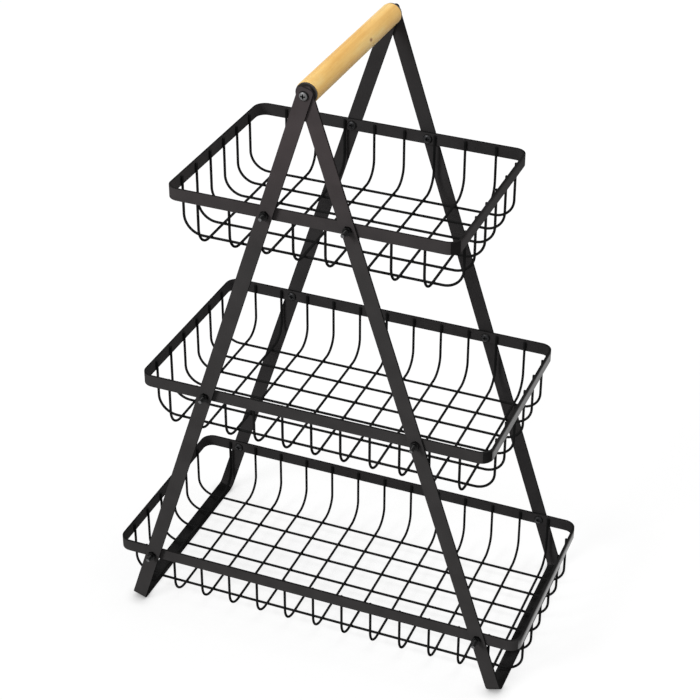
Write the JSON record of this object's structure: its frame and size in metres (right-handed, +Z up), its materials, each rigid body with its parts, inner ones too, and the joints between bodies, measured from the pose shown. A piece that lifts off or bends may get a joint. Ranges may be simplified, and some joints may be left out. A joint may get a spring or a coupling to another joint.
{
  "type": "three tier wire basket stand",
  "caption": "Free-standing A-frame stand with tiered wire baskets on crossed flat-bar frames and a round wooden carrying handle.",
  "frame": {"origin": "on the ground, below the middle of the handle", "axes": "+X along the baskets to the right, +Y from front to back, +Z up"},
  "size_m": [0.392, 0.209, 0.56],
  "materials": {
    "coated_steel": "satin black powder coat",
    "coated_wire": "satin black powder coat on thin wire",
    "black_fastener": "blackened steel with worn bright edges",
    "black_disc": "matte black",
    "handle_wood": "smooth oiled pale wood"
  },
  "bodies": {
    "root": {"top_rim": "coated_steel", "middle_rim": "coated_steel", "bottom_rim": "coated_steel", "top_cross_wire_1": "coated_wire", "top_cross_wire_2": "coated_wire", "top_cross_wire_3": "coated_wire", "top_cross_wire_4": "coated_wire", "top_cross_wire_5": "coated_wire", "top_cross_wire_6": "coated_wire", "top_cross_wire_7": "coated_wire", "top_cross_wire_8": "coated_wire", "middle_cross_wire_1": "coated_wire", "middle_cross_wire_2": "coated_wire", "middle_cross_wire_3": "coated_wire", "middle_cross_wire_4": "coated_wire", "middle_cross_wire_5": "coated_wire", "middle_cross_wire_6": "coated_wire", "middle_cross_wire_7": "coated_wire", "middle_cross_wire_8": "coated_wire", "middle_cross_wire_9": "coated_wire", "middle_cross_wire_10": "coated_wire", "middle_cross_wire_11": "coated_wire", "bottom_cross_wire_1": "coated_wire", "bottom_cross_wire_2": "coated_wire", "bottom_cross_wire_3": "coated_wire", "bottom_cross_wire_4": "coated_wire", "bottom_cross_wire_5": "coated_wire", "bottom_cross_wire_6": "coated_wire", "bottom_cross_wire_7": "coated_wire", "bottom_cross_wire_8": "coated_wire", "bottom_cross_wire_9": "coated_wire", "bottom_cross_wire_10": "coated_wire", "bottom_cross_wire_11": "coated_wire", "bottom_cross_wire_12": "coated_wire", "bottom_cross_wire_13": "coated_wire", "top_long_wire_1": "coated_wire", "top_long_wire_2": "coated_wire", "top_long_wire_3": "coated_wire", "top_long_wire_4": "coated_wire", "top_long_wire_5": "coated_wire", "top_long_wire_6": "coated_wire", "middle_long_wire_1": "coated_wire", "middle_long_wire_2": "coated_wire", "middle_long_wire_3": "coated_wire", "middle_long_wire_4": "coated_wire", "middle_long_wire_5": "coated_wire", "middle_long_wire_6": "coated_wire", "bottom_long_wire_1": "coated_wire", "bottom_long_wire_2": "coated_wire", "bottom_long_wire_3": "coated_wire", "bottom_long_wire_4": "coated_wire", "bottom_long_wire_5": "coated_wire", "bottom_long_wire_6": "coated_wire", "left_frame": "coated_steel", "right_frame": "coated_steel", "handle": "handle_wood", "handle_discs": "black_disc", "pan_head_bolts": "black_fastener", "hex_nuts": "black_fastener", "spacer_washers": "black_fastener"}
  },
  "joints": []
}
